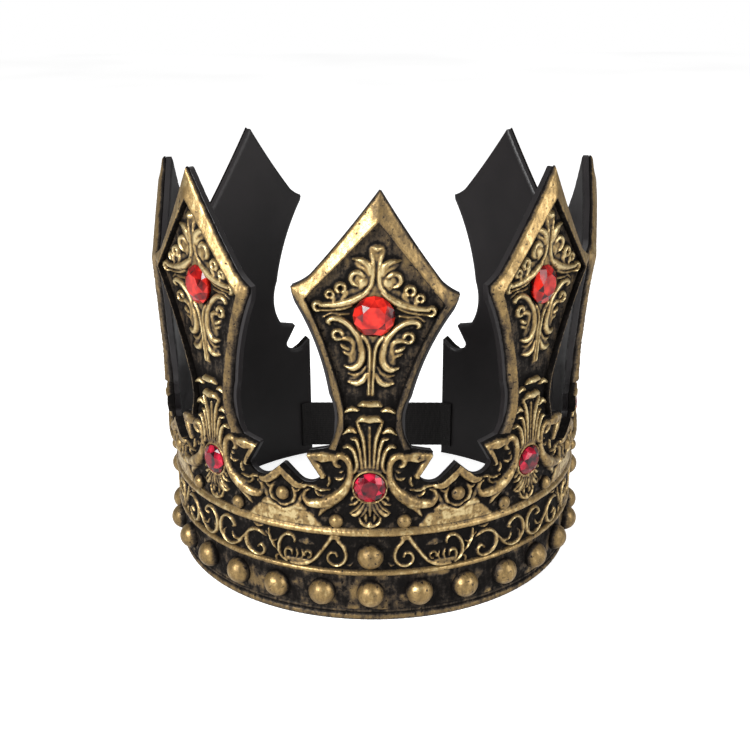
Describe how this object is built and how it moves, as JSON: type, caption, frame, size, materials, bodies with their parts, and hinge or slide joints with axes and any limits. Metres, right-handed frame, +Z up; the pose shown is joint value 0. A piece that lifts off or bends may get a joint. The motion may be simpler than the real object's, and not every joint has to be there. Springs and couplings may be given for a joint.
{
  "type": "crown",
  "caption": "Open costume crown: black foam band with tall kite-shaped spikes, antique gold scrollwork, ball studs, red faceted gems and a rear strap.",
  "frame": {"origin": "under the middle of the crown's box, in the plane of the band's bottom edge; the ring's own axis is 6.1 mm behind it (+Y), because the ring is open at the rear", "axes": "+Z up, -Y towards the front spike, +X towards a viewer's right when the viewer faces the front spike"},
  "size_m": [0.198, 0.1864, 0.1858],
  "materials": {
    "black_foam": "satin black moulded foam, smooth inside",
    "antique_gold": "antique gold rubbed over black-brown, dark in the recesses and brushed on the ridges",
    "orange_red_gem": "clear orange-red acrylic, faceted and foil-backed",
    "crimson_gem": "clear crimson acrylic, faceted and foil-backed",
    "black_elastic": "matt black woven elastic"
  },
  "bodies": {
    "front": {"ball_studs_front": "antique_gold", "frieze_front": "antique_gold", "front_base_gem": "crimson_gem", "front_base_ornament": "antique_gold", "front_left_base_gem": "crimson_gem", "front_left_base_ornament": "antique_gold", "front_left_spike_frame": "antique_gold", "front_left_spike_gem": "orange_red_gem", "front_left_spike_panel": "antique_gold", "front_right_base_gem": "crimson_gem", "front_right_base_ornament": "antique_gold", "front_right_spike_frame": "antique_gold", "front_right_spike_gem": "orange_red_gem", "front_right_spike_panel": "antique_gold", "front_spike_frame": "antique_gold", "front_spike_gem": "orange_red_gem", "front_spike_panel": "antique_gold", "gable_ornaments_front": "antique_gold", "lower_rail_front": "antique_gold", "rear_strap": "black_elastic", "rim_bead_front": "antique_gold", "shell_front": "black_foam", "side_left_base_gem": "crimson_gem", "side_left_base_ornament": "antique_gold", "side_left_spike_frame": "antique_gold", "side_left_spike_gem": "orange_red_gem", "side_left_spike_panel": "antique_gold", "side_right_base_gem": "crimson_gem", "side_right_base_ornament": "antique_gold", "side_right_spike_frame": "antique_gold", "side_right_spike_gem": "orange_red_gem", "side_right_spike_panel": "antique_gold", "small_studs_front": "antique_gold", "upper_rail_front": "antique_gold"},
    "rear_left": {"back_left_base_gem": "crimson_gem", "back_left_base_ornament": "antique_gold", "back_left_spike_frame": "antique_gold", "back_left_spike_gem": "orange_red_gem", "back_left_spike_panel": "antique_gold", "ball_studs_rear_left": "antique_gold", "frieze_rear_left": "antique_gold", "gable_ornaments_rear_left": "antique_gold", "lower_rail_rear_left": "antique_gold", "rim_bead_rear_left": "antique_gold", "shell_rear_left": "black_foam", "small_studs_rear_left": "antique_gold", "upper_rail_rear_left": "antique_gold"},
    "rear_right": {"back_right_base_gem": "crimson_gem", "back_right_base_ornament": "antique_gold", "back_right_spike_frame": "antique_gold", "back_right_spike_gem": "orange_red_gem", "back_right_spike_panel": "antique_gold", "ball_studs_rear_right": "antique_gold", "frieze_rear_right": "antique_gold", "gable_ornaments_rear_right": "antique_gold", "lower_rail_rear_right": "antique_gold", "rim_bead_rear_right": "antique_gold", "shell_rear_right": "black_foam", "small_studs_rear_right": "antique_gold", "upper_rail_rear_right": "antique_gold"}
  },
  "joints": [
    {"name": "flex_left", "type": "hinge", "parent": "front", "child": "rear_left", "pos_m": [-0.09099, 0.03405, 0], "axis": [0, 0, 1], "range_deg": [0, 6]},
    {"name": "flex_right", "type": "hinge", "parent": "front", "child": "rear_right", "pos_m": [0.09099, 0.03405, 0], "axis": [0, 0, -1], "range_deg": [0, 6]}
  ],
  "couplings": [
    {"joint": "flex_right", "follows": "flex_left", "ratio": 1}
  ]
}
